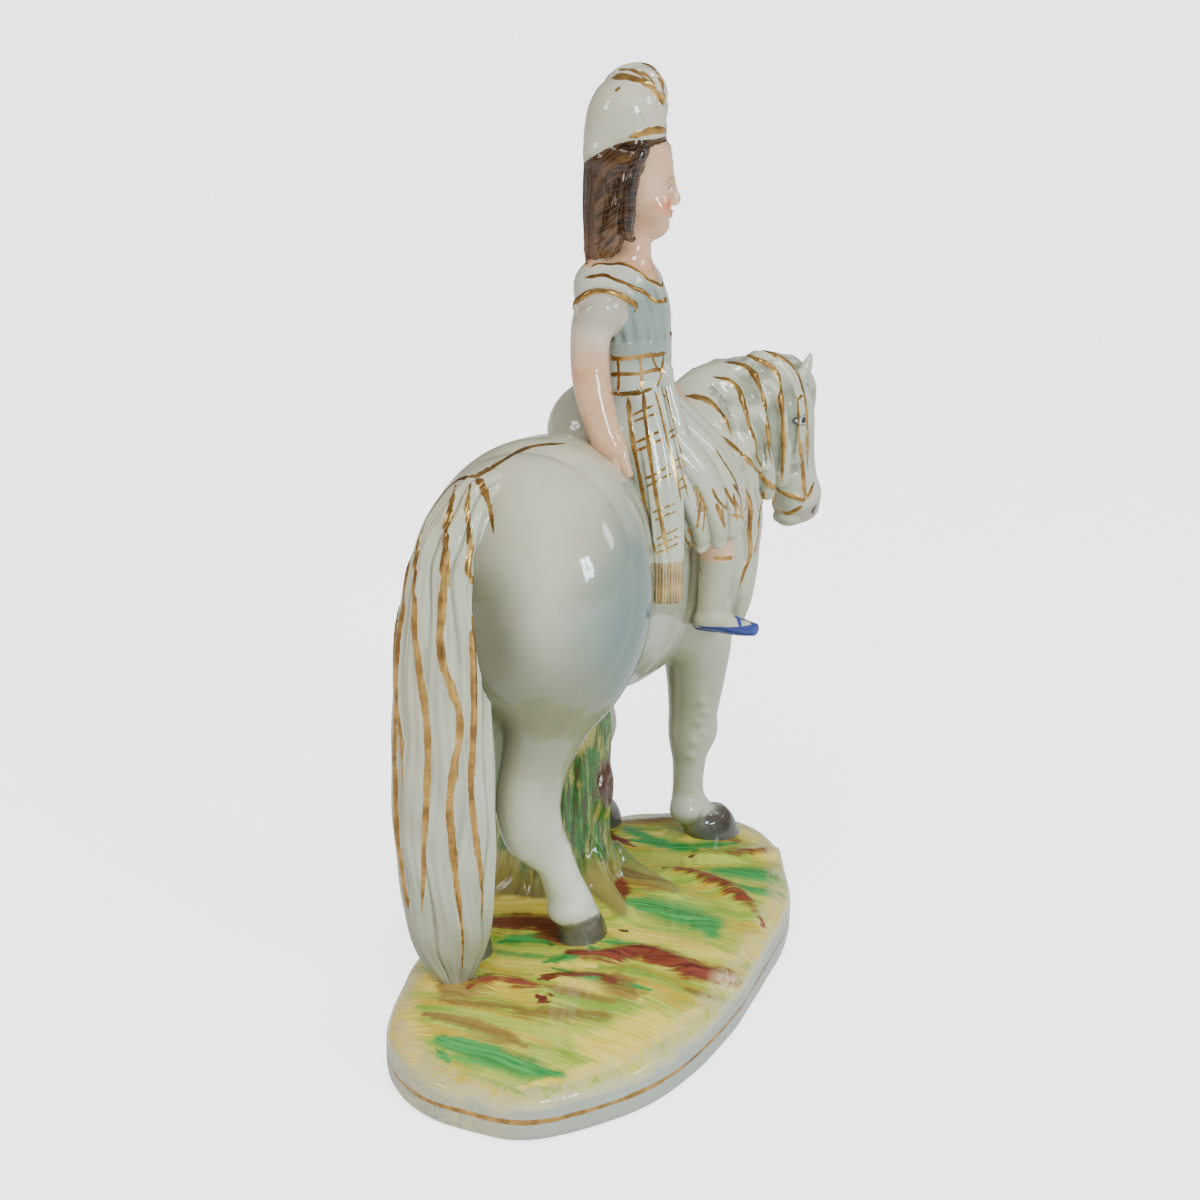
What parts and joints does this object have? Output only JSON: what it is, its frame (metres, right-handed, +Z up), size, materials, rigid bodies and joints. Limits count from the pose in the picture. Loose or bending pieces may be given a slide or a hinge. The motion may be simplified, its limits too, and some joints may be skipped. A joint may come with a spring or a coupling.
{
  "type": "staffordshire figure",
  "caption": "Glazed earthenware statuette of a rider in a tall cap and tartan sash seated sideways on a standing white pony with gilt mane and tail, on an oval mound base.",
  "frame": {"origin": "middle of the flat underside of the oval base, where it meets the shelf", "axes": "+X is the way the pony faces, -Y is the display side towards which the rider's feet hang, +Z is up"},
  "size_m": [0.2078, 0.093, 0.2502],
  "materials": {
    "glaze": "glossy cream-white lead glaze, with overglaze green, yellow, brown and flesh enamels and burnished brown gilding"
  },
  "bodies": {
    "root": {"figurine": "glaze"}
  },
  "joints": []
}
